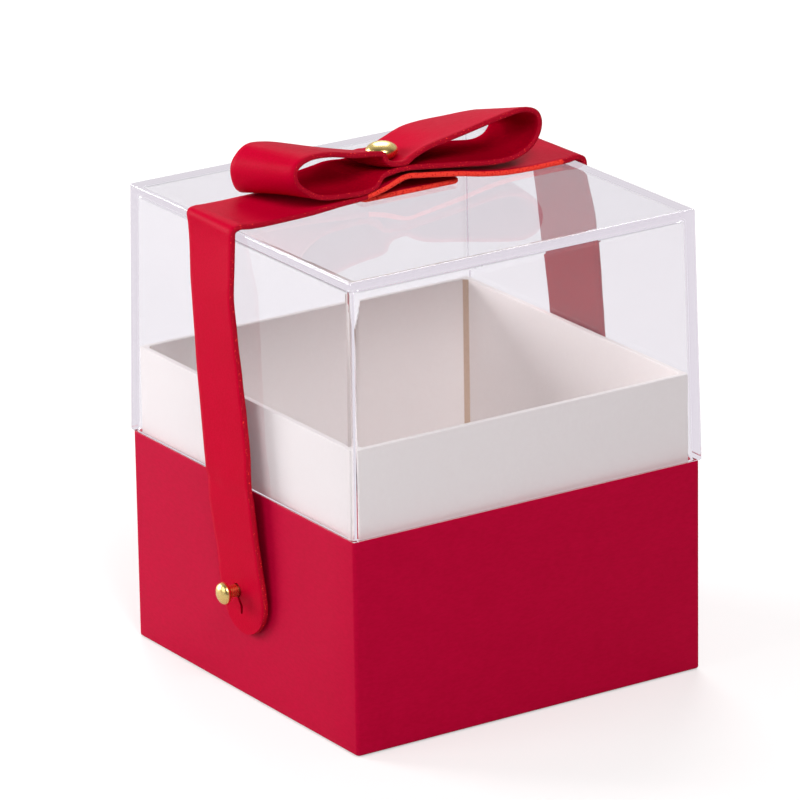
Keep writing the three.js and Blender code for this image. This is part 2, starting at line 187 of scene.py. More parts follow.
# Leatherette paper: embossed paper with a satin polyurethane film. The film gives a broad soft
# sheen, and the fine emboss breaks it into specks.
def leatherette_paper():
    material, tree, output = new_material("leatherette_paper")
    place = add(tree, "ShaderNodeTexCoord").outputs["Object"]
    grain_size = 0.35 * MM
    grain = add(tree, "ShaderNodeTexVoronoi", {"Vector": place, "Scale": 1 / grain_size, "Randomness": 1.0})
    drawn = add(tree, "ShaderNodeMapping", {"Vector": place, "Scale": (0.35, 0.35, 1.0)})
    cloud_size = 7 * MM
    cloud = add(tree, "ShaderNodeTexNoise", {"Vector": place, "Scale": 1 / cloud_size, "Detail": 4.0})
    thread_size = 0.5 * MM
    threads = add(tree, "ShaderNodeTexNoise",
                  {"Vector": drawn.outputs[0], "Scale": 1 / thread_size, "Detail": 3.0})
    colour = add(tree, "ShaderNodeMix", {MIX_FACTOR: cloud.outputs["Fac"], MIX_A: linear("#B60232"),
                                         MIX_B: linear("#C20438")}, data_type="RGBA")
    specks = add(tree, "ShaderNodeMapRange", {"Value": threads.outputs["Fac"], "From Min": 0.35,
                                              "From Max": 0.7, "To Min": 0.0, "To Max": 0.28})
    colour = add(tree, "ShaderNodeMix", {MIX_FACTOR: specks.outputs[0], MIX_A: colour.outputs[MIX_RESULT],
                                         MIX_B: linear("#9E0020")}, data_type="RGBA")
    rough = add(tree, "ShaderNodeMapRange", {"Value": cloud.outputs["Fac"], "To Min": 0.42, "To Max": 0.52})
    height = add(tree, "ShaderNodeMath", {0: grain.outputs["Distance"], 1: threads.outputs["Fac"]},
                 operation="ADD")
    bump = add(tree, "ShaderNodeBump", {"Height": height.outputs[0], "Strength": 0.35,
                                        "Distance": 0.03 * MM})
    surface = add(tree, "ShaderNodeBsdfPrincipled", {
        "Base Color": colour.outputs[MIX_RESULT], "Roughness": rough.outputs[0],
        "Normal": bump.outputs[0], "Specular IOR Level": 0.04})
    tree.links.new(surface.outputs[0], output.inputs["Surface"])
    return material


# Bonded leather: a red coated face with a fine pebbled grain and a satin shine
def leather_face():
    material, tree, output = new_material("bonded_leather_face")
    place = add(tree, "ShaderNodeTexCoord").outputs["Object"]
    pebble_size = 0.4 * MM
    pebbles = add(tree, "ShaderNodeTexVoronoi", {"Vector": place, "Scale": 1 / pebble_size})
    crease_size = 1.6 * MM
    creases = add(tree, "ShaderNodeTexNoise", {"Vector": place, "Scale": 1 / crease_size, "Detail": 5.0})
    cloud_size = 9 * MM
    cloud = add(tree, "ShaderNodeTexNoise", {"Vector": place, "Scale": 1 / cloud_size, "Detail": 3.0})
    colour = add(tree, "ShaderNodeMix", {MIX_FACTOR: cloud.outputs["Fac"], MIX_A: linear("#BA0028"),
                                         MIX_B: linear("#C40030")}, data_type="RGBA")
    specks = add(tree, "ShaderNodeMapRange", {"Value": pebbles.outputs["Distance"], "From Min": 0.25,
                                              "From Max": 0.65, "To Min": 0.0, "To Max": 0.3})
    colour = add(tree, "ShaderNodeMix", {MIX_FACTOR: specks.outputs[0], MIX_A: colour.outputs[MIX_RESULT],
                                         MIX_B: linear("#A80018")}, data_type="RGBA")
    rough = add(tree, "ShaderNodeMapRange", {"Value": creases.outputs["Fac"], "To Min": 0.36, "To Max": 0.5})
    height = add(tree, "ShaderNodeMath", {0: creases.outputs["Fac"], 1: pebbles.outputs["Distance"]},
                 operation="SUBTRACT")
    bump = add(tree, "ShaderNodeBump", {"Height": height.outputs[0], "Strength": 0.4,
                                        "Distance": 0.05 * MM})
    surface = add(tree, "ShaderNodeBsdfPrincipled", {
        "Base Color": colour.outputs[MIX_RESULT], "Roughness": rough.outputs[0],
        "Normal": bump.outputs[0], "Specular IOR Level": 0.015})
    tree.links.new(surface.outputs[0], output.inputs["Surface"])
    return material


# The die-cut edge of the leather: the dyed fibre shows as ragged lighter, orange red flecks. amount sets the
# share of flecks, low on the inked edge, whose darker base is partly painted shade, and high on a raw one.
def leather_cut(name, base, amount):
    material, tree, output = new_material(name)
    place = add(tree, "ShaderNodeTexCoord").outputs["Object"]
    fibre_size = 0.4 * MM
    fibre = add(tree, "ShaderNodeTexNoise", {"Vector": place, "Scale": 1 / fibre_size, "Detail": 4.0})
    flecks = add(tree, "ShaderNodeMapRange", {"Value": fibre.outputs["Fac"], "From Min": 0.62 - amount / 3,
                                              "From Max": 0.72 - amount / 3})
    colour = add(tree, "ShaderNodeMix", {MIX_FACTOR: flecks.outputs[0], MIX_A: linear(base),
                                         MIX_B: linear("#FF4436")}, data_type="RGBA")
    bump = add(tree, "ShaderNodeBump", {"Height": fibre.outputs["Fac"], "Strength": 0.4,
                                        "Distance": 0.05 * MM})
    surface = add(tree, "ShaderNodeBsdfPrincipled", {
        "Base Color": colour.outputs[MIX_RESULT], "Roughness": 0.75, "Normal": bump.outputs[0],
        "Specular IOR Level": 0.1})
    tree.links.new(surface.outputs[0], output.inputs["Surface"])
    return material


# The back of the leather: pressed fibre, dyed through, with no coating
def leather_back():
    material, tree, output = new_material("bonded_leather_back")
    place = add(tree, "ShaderNodeTexCoord").outputs["Object"]
    fibre_size = 0.6 * MM
    fibre = add(tree, "ShaderNodeTexNoise", {"Vector": place, "Scale": 1 / fibre_size, "Detail": 6.0})
    colour = add(tree, "ShaderNodeMix", {MIX_FACTOR: fibre.outputs["Fac"], MIX_A: linear("#98001A"),
                                         MIX_B: linear("#B40022")}, data_type="RGBA")
    bump = add(tree, "ShaderNodeBump", {"Height": fibre.outputs["Fac"], "Strength": 0.5,
                                        "Distance": 0.08 * MM})
    surface = add(tree, "ShaderNodeBsdfPrincipled", {
        "Base Color": colour.outputs[MIX_RESULT], "Roughness": 0.85, "Normal": bump.outputs[0],
        "Specular IOR Level": 0.0})
    tree.links.new(surface.outputs[0], output.inputs["Surface"])
    return material


# Folding boxboard: an uncoated white face, faintly fibrous and quite matt
def white_board():
    material, tree, output = new_material("white_board")
    place = add(tree, "ShaderNodeTexCoord").outputs["Object"]
    fibre_size = 0.8 * MM
    fibre = add(tree, "ShaderNodeTexNoise", {"Vector": place, "Scale": 1 / fibre_size, "Detail": 6.0})
    colour = add(tree, "ShaderNodeMix", {MIX_FACTOR: fibre.outputs["Fac"], MIX_A: linear("#F0E8E6"),
                                         MIX_B: linear("#F6F1EF")}, data_type="RGBA")
    bump = add(tree, "ShaderNodeBump", {"Height": fibre.outputs["Fac"], "Strength": 0.25,
                                        "Distance": 0.03 * MM})
    surface = add(tree, "ShaderNodeBsdfPrincipled", {
        "Base Color": colour.outputs[MIX_RESULT], "Roughness": 0.8, "Normal": bump.outputs[0],
        "Specular IOR Level": 0.35})
    tree.links.new(surface.outputs[0], output.inputs["Surface"])
    return material


# Board where it was cut or milled: raw brownish fibre, dark specks and no face
def raw_board(name, low, high):
    material, tree, output = new_material(name)
    place = add(tree, "ShaderNodeTexCoord").outputs["Object"]
    fibre_size = 0.5 * MM
    fibre = add(tree, "ShaderNodeTexNoise", {"Vector": place, "Scale": 1 / fibre_size, "Detail": 8.0,
                                             "Roughness": 0.7})
    colour = add(tree, "ShaderNodeMix", {MIX_FACTOR: fibre.outputs["Fac"], MIX_A: linear(low),
                                         MIX_B: linear(high)}, data_type="RGBA")
    bump = add(tree, "ShaderNodeBump", {"Height": fibre.outputs["Fac"], "Strength": 0.6,
                                        "Distance": 0.1 * MM})
    surface = add(tree, "ShaderNodeBsdfPrincipled", {
        "Base Color": colour.outputs[MIX_RESULT], "Roughness": 0.95, "Normal": bump.outputs[0]})
    tree.links.new(surface.outputs[0], output.inputs["Surface"])
    return material


# Moulded polystyrene or acrylic: clear and polished, with a faint violet body colour that gathers
# at the edges. Lamps shine through it.
def clear_acrylic():
    material, tree, output = new_material("clear_acrylic")
    surface = add(tree, "ShaderNodeBsdfPrincipled", {
        "Base Color": linear("#F2F1F4"), "Roughness": 0.02, "IOR": 1.49, "Transmission Weight": 1.0})
    let_through = add(tree, "ShaderNodeBsdfTransparent")
    path = add(tree, "ShaderNodeLightPath")
    # A ray that was mirrored inside a wall ends at the next face in a pale grey glow: painted light that
    # stands in for the light that gathers there
    painted_grey_glow = add(tree, "ShaderNodeEmission", {"Color": linear("#ECE6EE"), "Strength": 1.0})
    inside = add(tree, "ShaderNodeMixShader", {0: path.outputs["Is Glossy Ray"], 1: let_through.outputs[0],
                                               2: painted_grey_glow.outputs[0]})
    let_out = add(tree, "ShaderNodeMixShader", {0: path.outputs["Is Reflection Ray"], 1: surface.outputs[0],
                                                2: inside.outputs[0]})
    mixed = add(tree, "ShaderNodeMixShader", {0: path.outputs["Is Shadow Ray"], 1: let_out.outputs[0],
                                              2: let_through.outputs[0]})
    body = add(tree, "ShaderNodeVolumeAbsorption", {"Color": linear("#D0C4D4"), "Density": 10.0})
    tree.links.new(mixed.outputs[0], output.inputs["Surface"])
    tree.links.new(body.outputs[0], output.inputs["Volume"])
    return material


# Gold-plated brass, barrel polished: a mirror with the faintest haze
def gold_plate():
    material, tree, output = new_material("gold_plated_brass")
    place = add(tree, "ShaderNodeTexCoord").outputs["Object"]
    haze_size = 1.5 * MM
    haze = add(tree, "ShaderNodeTexNoise", {"Vector": place, "Scale": 1 / haze_size, "Detail": 4.0})
    rough = add(tree, "ShaderNodeMapRange", {"Value": haze.outputs["Fac"], "To Min": 0.2, "To Max": 0.34})
    surface = add(tree, "ShaderNodeBsdfPrincipled", {
        "Base Color": linear("#F2D488"), "Metallic": 1.0, "Roughness": rough.outputs[0]})
    tree.links.new(surface.outputs[0], output.inputs["Surface"])
    return material


PAPER_RED = leatherette_paper()
LEATHER_FACE = leather_face()
# The inked edge's base is darker than the face: partly the edge's own crimson, partly painted shade standing
# for the shade on the near edges
LEATHER_INKED_SHADED_CUT = leather_cut("bonded_leather_inked_shaded_edge", "#AC0022", 0.05)
LEATHER_RAW_CUT = leather_cut("bonded_leather_raw_edge", "#D81418", 0.75)
LEATHER_BACK = leather_back()
BOARD_WHITE = white_board()
BOARD_RAW = raw_board("white_board_raw_edge", "#B89A84", "#D8BCA4")
BOARD_GREY = raw_board("grey_board", "#8E8578", "#A89C8C")
ACRYLIC = clear_acrylic()
GOLD = gold_plate()
LEATHER_MATERIALS = (LEATHER_FACE, LEATHER_INKED_SHADED_CUT, LEATHER_BACK, LEATHER_RAW_CUT)
# Their places in that list
FACE, INKED_SHADED_EDGE, BACK, RAW_EDGE = range(4)


# The photograph's camera
def camera():
    data = bpy.data.cameras.new("camera")
    data.lens = CAMERA_LENS
    data.sensor_width = CAMERA_SENSOR
    data.clip_start = 0.1
    data.clip_end = 20
    made = bpy.data.objects.new("camera", data)
    scene.collection.objects.link(made)
    azimuth = math.radians(CAMERA_AZIMUTH)
    down = math.radians(CAMERA_DOWN)
    level = math.cos(down)
    look = Vector((math.sin(azimuth) * level, math.cos(azimuth) * level, -math.sin(down)))
    turn = look.to_track_quat("-Z", "Y").to_matrix().to_4x4()
    roll = Matrix.Rotation(math.radians(CAMERA_ROLL), 4, "Z")
    made.matrix_world = Matrix.Translation(CAMERA_PLACE) @ turn @ roll
    scene.camera = made


# A pale floor under the box
def floor():
    mesh = bpy.data.meshes.new("floor")
    corners = [(x * FLOOR_HALF, y * FLOOR_HALF, 0) for x, y in ((-1, -1), (1, -1), (1, 1), (-1, 1))]
    mesh.from_pydata(corners, [], [(0, 1, 2, 3)])
    made = bpy.data.objects.new("floor", mesh)
    scene.collection.objects.link(made)
    material, tree, output = new_material("pale_floor")
    # Light that the floor itself returns, and white added only where it is seen, directly or through clear
    # parts
    lit = add(tree, "ShaderNodeBsdfDiffuse", {"Color": linear("#CCCACA")})
    glow = add(tree, "ShaderNodeEmission", {"Color": linear("#FFFFFF"), "Strength": 0.45})
    both = add(tree, "ShaderNodeAddShader", {0: lit.outputs[0], 1: glow.outputs[0]})
    path = add(tree, "ShaderNodeLightPath")
    seen = add(tree, "ShaderNodeMath", {0: path.outputs["Is Camera Ray"],
                                        1: path.outputs["Is Transmission Ray"]}, operation="MAXIMUM")
    mixed = add(tree, "ShaderNodeMixShader", {0: seen.outputs[0], 1: lit.outputs[0], 2: both.outputs[0]})
    tree.links.new(mixed.outputs[0], output.inputs["Surface"])
    mesh.materials.append(material)


# Direction in which mirrors find the world bright, behind the box
BRIGHT_SIDE = (0.5, 0.75, 0.43)


# White where it is seen, and in mirrors bright behind the box and dim on the camera's side
def world():
    made = bpy.data.worlds.new("studio")
    scene.world = made
    made.use_nodes = True
    tree = made.node_tree
    tree.nodes.clear()
    output = add(tree, "ShaderNodeOutputWorld")
    ambient = add(tree, "ShaderNodeBackground", {"Color": linear("#FFFFFF"), "Strength": 0.2})
    place = add(tree, "ShaderNodeTexCoord").outputs["Generated"]
    behind = add(tree, "ShaderNodeVectorMath", {0: place, 1: BRIGHT_SIDE}, operation="DOT_PRODUCT")
    bright = add(tree, "ShaderNodeMapRange", {"Value": behind.outputs["Value"], "From Min": 0.2,
                                              "From Max": 0.8, "To Min": 0.08, "To Max": 0.6})
    mirrored = add(tree, "ShaderNodeBackground", {"Color": linear("#FFFFFF"), "Strength": bright.outputs[0]})
    white = add(tree, "ShaderNodeBackground", {"Color": linear("#FFFFFF"), "Strength": 1.0})
    path = add(tree, "ShaderNodeLightPath")
    seen = add(tree, "ShaderNodeMath", {0: path.outputs["Is Camera Ray"],
                                        1: path.outputs["Is Transmission Ray"]}, operation="MAXIMUM")
    plain = add(tree, "ShaderNodeMixShader", {0: path.outputs["Is Glossy Ray"], 1: ambient.outputs[0],
                                              2: mirrored.outputs[0]})
    mixed = add(tree, "ShaderNodeMixShader", {0: seen.outputs[0], 1: plain.outputs[0], 2: white.outputs[0]})
    tree.links.new(mixed.outputs[0], output.inputs["Surface"])


# Soft lamps, as (name, place, height of the point over the floor's middle that it faces, width,
# power in watts). The one behind on the left gives the left side its sheen.
LAMPS = [
    ("left_back_softbox", (-0.62, 0.95, 0.3), 0.05, 0.5, 11),
    ("left_softbox", (-0.9, 0.1, 0.45), 0.05, 0.6, 2.6),
    ("back_softbox", (0.3, 0.5, 0.62), 0.08, 0.4, 2.8),
    ("front_softbox", (-0.2, -0.7, 0.8), 0.08, 0.35, 6.6),
]


def lamp(name, place, aim_height, size, power):
    data = bpy.data.lights.new(name, "AREA")
    data.shape = "SQUARE"
    data.size = size
    data.energy = power
    made = bpy.data.objects.new(name, data)
    scene.collection.objects.link(made)
    made.location = place
    made.rotation_mode = "QUATERNION"
    look = Vector((0, 0, aim_height)) - Vector(place)
    made.rotation_quaternion = look.to_track_quat("-Z", "Y")


camera()
floor()
world()
for values in LAMPS:
    lamp(*values)


# Mesh from points and faces, one material index for each face
def new_piece(name, points, faces, materials, indexes=None, crease=None):
    mesh = bpy.data.meshes.new(name)
    mesh.from_pydata([tuple(p) for p in points], [], faces)
    for material in materials:
        mesh.materials.append(material)
    if indexes:
        mesh.polygons.foreach_set("material_index", indexes)
    if crease is not None:
        mesh.polygons.foreach_set("use_smooth", [True] * len(mesh.polygons))
        mesh.set_sharp_from_angle(angle=math.radians(crease))
    mesh.validate()
    mesh.update()
    made = bpy.data.objects.new(name, mesh)
    scene.collection.objects.link(made)
    return made


# Cuts one closed piece out of another and deletes the cutter
def cut(piece, cutter):
    modifier = piece.modifiers.new("cut", "BOOLEAN")
    modifier.operation = "DIFFERENCE"
    modifier.solver = "MANIFOLD"
    modifier.object = cutter
    evaluated = piece.evaluated_get(bpy.context.evaluated_depsgraph_get())
    mesh = bpy.data.meshes.new_from_object(evaluated)
    piece.modifiers.clear()
    mesh.name = piece.name
    piece.data = mesh
    bpy.data.objects.remove(cutter)


# Points in a square ring: its four corners, and the two points of the lap
def ring_count(steps):
    return 4 * (steps + 1) + 2


# A square ring of points with round or flat corners, anticlockwise from the +X side. lap lifts the
# point where the wrapped sheet ends, on the -X side, and the ring slopes down to the wall behind it.
def square_ring(half, radius, steps, flat=False, lap=0.0):
    points = []
    inset = half - radius
    lap_y = -(BASE_HALF - LAP_PLACE)
    for corner, (cx, cy) in enumerate([(1, 1), (-1, 1), (-1, -1), (1, -1)]):
        for i in range(steps + 1):
            share = i / steps
            if flat:
                start = Matrix.Rotation(corner * math.pi / 2, 2) @ Vector((half, inset))
                end = Matrix.Rotation(corner * math.pi / 2, 2) @ Vector((inset, half))
                points.append(start.lerp(end, share))
            else:
                angle = (corner + share) * math.pi / 2
                turn = Vector((math.cos(angle), math.sin(angle)))
                points.append(Vector((cx, cy)) * inset + turn * radius)
        if corner == 1:
            points.append(Vector((-half, lap_y + LAP_SLOPE)))
            points.append(Vector((-half - lap, lap_y)))
    return points


# A closed body swept round a square, its last level joined to its first. Each level is (half width,
# corner radius, height, flat corners, lap).
def square_body(name, levels, steps, materials, crease=None):
    points = []
    faces = []
    count = ring_count(steps)
    for half, radius, height, flat, lap in levels:
        points += [Vector((p.x, p.y, height)) for p in square_ring(half, radius, steps, flat, lap)]
    for i in range(len(levels)):
        a = i * count
        b = ((i + 1) % len(levels)) * count
        for j in range(count):
            k = (j + 1) % count
            faces.append((a + j, a + k, b + k, b + j))
    return new_piece(name, points, faces, materials, crease=crease)


# Rounds a fold between two directions in degrees, as (half width, height) pairs about its centre
def fold(centre_half, centre_height, radius, start, end, steps):
    found = []
    for i in range(steps + 1):
        angle = math.radians(start + (end - start) * i / steps)
        found.append((centre_half + radius * math.cos(angle), centre_height + radius * math.sin(angle)))
    return found


# Cover paper: wrapped round the boards, folded over the rim and under the bottom
def cover_paper():
    def corner(half):
        return max(PAPER_LEAST_RADIUS, PAPER_EDGE_RADIUS - (BASE_HALF - half))

    inner_half = BOARD_INNER - PAPER
    low = PAPER
    # The sheet's outline as (half width, height, 1 where the lap shows)
    path = [(BASE_HALF - UNDER_TURN_IN, low, 0)]
    path += [(h, z, 0) for h, z in fold(BASE_HALF - FOLD_RADIUS, low + FOLD_RADIUS, FOLD_RADIUS, -90, 0,
                                        FOLD_STEPS)]
    path += [(BASE_HALF, low + FOLD_RADIUS + (BASE_TOP - low) * share, 1) for share in LAP_SPAN]
    rim = BASE_TOP - FOLD_RADIUS
    path += [(h, z, 0) for h, z in fold(BASE_HALF - FOLD_RADIUS, rim, FOLD_RADIUS, 0, 90, FOLD_STEPS)]
    path += [(h, z, 0) for h, z in fold(inner_half + FOLD_RADIUS, rim, FOLD_RADIUS, 90, 180, FOLD_STEPS)]
    end = BASE_TOP - PAPER - RIM_TURN_IN
    path += [(inner_half, end, 0), (BOARD_INNER, end, 0), (BOARD_INNER, BASE_TOP - PAPER, 0)]
    path += [(BOARD_OUTER, BASE_TOP - PAPER, 0), (BOARD_OUTER, 2 * PAPER, 0)]
    path += [(BASE_HALF - UNDER_TURN_IN, 2 * PAPER, 0)]
    levels = [(h, corner(h), z, False, LAP_STEP * lapped) for h, z, lapped in path]
    made = square_body("cover_paper_wrapped", levels, PAPER_CORNER_STEPS, [PAPER_RED], PAPER_CREASE)
    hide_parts("cover_paper")
    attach(made, "base")


# Limits for telling a groove's faces from the collar's other ones
HAIR = 0.001 * MM
NEARLY_EQUAL = 0.2
NEARLY_LEVEL = 0.1


# Collar: white board, its fold grooves cut down to the raw board inside
def collar():
    inner = COLLAR_OUTER - COLLAR_BOARD
    levels = [
        (COLLAR_OUTER, COLLAR_CORNER, COLLAR_LOW, False, 0),
        (COLLAR_OUTER, COLLAR_CORNER, COLLAR_TOP - COLLAR_EDGE, False, 0),
        (COLLAR_OUTER - COLLAR_EDGE, COLLAR_CORNER - COLLAR_EDGE, COLLAR_TOP, False, 0),
        (inner + COLLAR_EDGE, COLLAR_GROOVE, COLLAR_TOP, True, 0),
        (inner, COLLAR_GROOVE, COLLAR_TOP - COLLAR_EDGE, True, 0),
        (inner, COLLAR_GROOVE, COLLAR_LOW, True, 0),
    ]
    materials = [BOARD_WHITE, BOARD_RAW]
    made = square_body("collar_folded", levels, COLLAR_CORNER_STEPS, materials, COLLAR_CREASE)
    # A groove's faces stand upright inside and look towards a corner
    for face in made.data.polygons:
        inside = max(abs(face.center.x), abs(face.center.y)) < inner - HAIR
        slanted = abs(abs(face.normal.x) - abs(face.normal.y)) < NEARLY_EQUAL
        if inside and slanted and abs(face.normal.z) < NEARLY_LEVEL:
            face.material_index = materials.index(BOARD_RAW)
    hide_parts("collar")
    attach(made, "base")


# Half of the lid's outer width at a height
def lid_half(z):
    return LID_HALF - LID_DRAFT * (z - LID_LOW) / (LID_TOP - LID_LOW)


# Lid: moulded in one piece, with draft, eased outer edges and rounder inner ones
def lid():
    top_half = lid_half(LID_TOP)
    low_half = lid_half(LID_LOW)
    outer = [(low_half - LID_RIM_EASE, LID_EDGE - LID_RIM_EASE, LID_LOW),
             (low_half, LID_EDGE, LID_LOW + LID_RIM_EASE)]
    outer += [(h, LID_EDGE - (top_half - h), z)
              for h, z in fold(top_half - LID_TOP_EASE, LID_TOP - LID_TOP_EASE, LID_TOP_EASE, 0, 90,
                               FOLD_STEPS)]
    ceiling = LID_TOP - LID_ROOF
    ceiling_half = lid_half(ceiling) - LID_WALL
    inner = [(h, LID_INNER_EDGE - (ceiling_half - h), z)
             for h, z in fold(ceiling_half - LID_CEILING_RADIUS, ceiling - LID_CEILING_RADIUS,
                              LID_CEILING_RADIUS, 90, 0, LID_CEILING_STEPS)]
    inner += [(low_half - LID_WALL, LID_INNER_EDGE, LID_LOW + LID_RIM_EASE),
              (low_half - LID_WALL + LID_RIM_EASE, LID_INNER_EDGE + LID_RIM_EASE, LID_LOW)]
    levels = [(h, r, z, False, 0) for h, r, z in outer + inner]
    swept = square_body("lid_moulded", levels, LID_CORNER_STEPS, [ACRYLIC])
    # The band between the roof's outer and inner rims becomes two flat faces
    points = [v.co.copy() for v in swept.data.vertices]
    count = ring_count(LID_CORNER_STEPS)
    roof = (len(outer) - 1) * count
    under = len(outer) * count
    faces = [tuple(f.vertices) for f in swept.data.polygons
             if not (min(f.vertices) >= roof and max(f.vertices) < under + count
                     and min(f.vertices) < under <= max(f.vertices))]
    faces.append(tuple(range(roof, roof + count)))
    faces.append(tuple(reversed(range(under, under + count))))
    bpy.data.objects.remove(swept)
    made = new_piece("lid_moulded", points, faces, [ACRYLIC])
    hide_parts("lid_shell")
    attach(made, "lid")


# Point on a smooth curve through rows of points, a share t of the way from row i to the next
def between_rows(rows, i, t, closed):
    count = len(rows)
    indexes = range(i - 1, i + 3)
    four = [rows[k % count] if closed else rows[min(max(k, 0), count - 1)] for k in indexes]
    found = []
    for a, b, c, d in zip(*four):
        found.append(0.5 * (2 * b + (c - a) * t + (2 * a - 5 * b + 4 * c - d) * t * t
                            + (3 * b - 3 * c + d - a) * t * t * t))
    return found


# Smooth rows from a few, with the given number of steps between each two
def smooth_rows(rows, steps, closed=False):
    spans = len(rows) if closed else len(rows) - 1
    found = [between_rows(rows, i, k / steps, closed) for i in range(spans) for k in range(steps)]
    return found if closed else found + [rows[-1]]


# Share of the first step across a row that the eased edge may take
EASE_SHARE = 0.8


# A strip of leather from its middle surface, rows of points across it. Its faces carry the
# coated side, the cut edge and the back. flip turns the coated side to the other face.
def leather_strip(name, rows, closed, flip=False):
    half = LEATHER / 2
    count = len(rows)
    across = len(rows[0])
    grid_normal = []
    for i, row in enumerate(rows):
        before = rows[(i - 1) % count] if closed else rows[max(i - 1, 0)]
        after = rows[(i + 1) % count] if closed else rows[min(i + 1, count - 1)]
        normals = []
        for j in range(across):
            along = after[j] - before[j]
            side = row[min(j + 1, across - 1)] - row[max(j - 1, 0)]
            normal = along.cross(side).normalized()
            normals.append(-normal if flip else normal)
        grid_normal.append(normals)
    points = []
    for row, normals in zip(rows, grid_normal):
        first = (row[1] - row[0]).normalized()
        last = (row[-1] - row[-2]).normalized()
        inner = [p.copy() for p in row]
        # Where the rows narrow at a tip, the eased edge narrows with them
        eased = min(CUT_EDGE, EASE_SHARE * (row[1] - row[0]).length)
        inner[0] = row[0] + first * eased
        inner[-1] = row[-1] - last * eased
        points += [p + n * half for p, n in zip(inner, normals)]
        points += [row[-1] + normals[-1] * (half - CUT_EDGE), row[-1] - normals[-1] * (half - CUT_EDGE)]
        points += [p - n * half for p, n in reversed(list(zip(inner, normals)))]
        points += [row[0] - normals[0] * (half - CUT_EDGE), row[0] + normals[0] * (half - CUT_EDGE)]
    ring = 2 * across + 4
    kinds = [FACE] * (across - 1) + [INKED_SHADED_EDGE] * 3 + [BACK] * (across - 1) + [INKED_SHADED_EDGE] * 3
    faces = []
    indexes = []
    for i in range(count if closed else count - 1):
        a = i * ring
        b = ((i + 1) % count) * ring
        for j in range(ring):
            k = (j + 1) % ring
            faces.append((a + j, a + k, b + k, b + j) if flip else (a + j, b + j, b + k, a + k))
            indexes.append(kinds[j])
    if not closed:
        last = (count - 1) * ring
        ends = [tuple(range(ring)), tuple(reversed(range(last, last + ring)))]
        faces += [tuple(reversed(e)) for e in ends] if flip else ends
        indexes += [INKED_SHADED_EDGE, INKED_SHADED_EDGE]
    return new_piece(name, points, faces, LEATHER_MATERIALS, indexes, LEATHER_CREASE)


# A closed prism between two matching rings of points, for cutting
def prism(low_ring, high_ring, material, inside_out=False):
    count = len(low_ring)
    faces = [(i, (i + 1) % count, count + (i + 1) % count, count + i) for i in range(count)]
    faces += [tuple(reversed(range(count))), tuple(range(count, 2 * count))]
    if inside_out:
        faces = [tuple(reversed(f)) for f in faces]
    return new_piece("cutter", low_ring + high_ring, faces, [material], [0] * len(faces))


# A round post along a direction, for cutting a hole
def post(radius, start, end, sides=32):
    axis = (end - start).normalized()
    side = axis.orthogonal().normalized()
    other = axis.cross(side)
    rings = []
    for centre in (start, end):
        angles = [2 * math.pi * i / sides for i in range(sides)]
        rings.append([centre + (side * math.cos(a) + other * math.sin(a)) * radius for a in angles])
    return prism(*rings, LEATHER_INKED_SHADED_CUT)


# Strap where it lies over the lid, as (distance from the centre stud, lift by the stack under the
# stud, curl of its near edge), each a share of its full value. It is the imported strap's own line.
HUMP_REACH = 34 * MM
HUMP_CURL = 1.7 * MM
HUMP = [
    (-1, 0, 0), (-0.7, 0.1, 0), (-0.47, 0.36, 0), (-0.3, 0.52, 0), (-0.15, 0.86, 0.15), (0, 1, 1),
    (0.12, 1, 0.76), (0.26, 1, 0.35), (0.41, 0.85, 0.06), (0.56, 0.45, 0), (0.74, 0.1, 0), (0.94, 0, 0),
]
STRAP_REST = 0.08 * MM
# The screw's flange, with the gaps below and above it, lies between the patch and the strap
FLANGE_STACK = 1.2 * MM
STRAP_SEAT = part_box("centre_stud_screw")[0].z + FLANGE_STACK
# The half's first row after the stud is at least this far from it
FIRST_ROW = 0.3 * MM
# The bend at the lid's edge, as (place across the lid's edge, less than 0 inside it, lift of the near
# edge, lift of the far edge), in millimetres
BEND = [(-3.2, 0.10, 0.04), (-1.7, 0.28, 0.08), (-0.5, 0.38, 0.1)]
# Its last row lies this far out from the edge and up, and stands off by this share of the end's own
BEND_OUT = 0.15 * MM
BEND_UP = 0.25 * MM
BEND_STAND_OFF = 0.5
# How far below the edge the first rows on the side are
SIDE_KEYS = (2.2 * MM, 6 * MM, 12 * MM)
ROW_PITCH = 1.5 * MM
# Over this stretch the hanging end turns from aslant to square with the lid's edge
SQUARE_FROM = 16 * MM
SQUARE_OVER = 12 * MM
# Where it is square, it stays this far below the lid's top
SQUARE_DOWN = 1.6 * MM
# How far the hanging end stands off the box, as (way up from the side stud, near edge, far edge), in
# millimetres
STAND_OFF = [
    (76, 0.8, 0.2), (72, 1.3, 0.2), (67, 2, 0.55), (62, 2.35, 0.6), (54, 2.15, 0.68), (46, 1.8, 0.82),
    (38, 1.5, 0.75), (31, 1.35, 0.7), (24, 1.7, 0.6), (19, 1.8, 0.9), (13, 1.65, 0.6), (8, 1.4, 0.12),
    (0, 0.9, 0.1), (-4, 0.6, 0.12), (-9, 0.5, 0.25),
]
# The round tip stops short of a quarter turn, so that its end has a width
TIP_TURN = 88
# How far the strap's middle line passes beside the side stud, towards the camera's side
TIP_SHIFT = 2 * MM
# The slit that opens over the ball, bent by wear, in millimetres across and along from the stud
SLIT = [(-0.5, -1.2), (-1.7, -3.2), (-1.2, -4.9), (-0.5, -4.9), (-0.7, -3.2), (0.35, -1.2)]
CENTRE_HOLE_RADIUS = CENTRE_NECK / 2 + 0.2 * MM
BUTTON_HOLE_RADIUS = 1.55 * MM
CENTRE_CUTTER_LENGTH = 12 * MM
SIDE_CUTTER_LENGTH = 6 * MM
# The stretch of the near edge that shows the raw cut edge. From the left fold to its start, the darker inked
# edge stays on as painted shade where the left loop shades it.
RAW_EDGE_START_PAST_SHADE = -11 * MM
RAW_EDGE_END = 37.5 * MM
# Places across the strip, from its near edge to its far one
ACROSS = [i / HALF_WIDTH_STEPS - 1 for i in range(2 * HALF_WIDTH_STEPS + 1)]


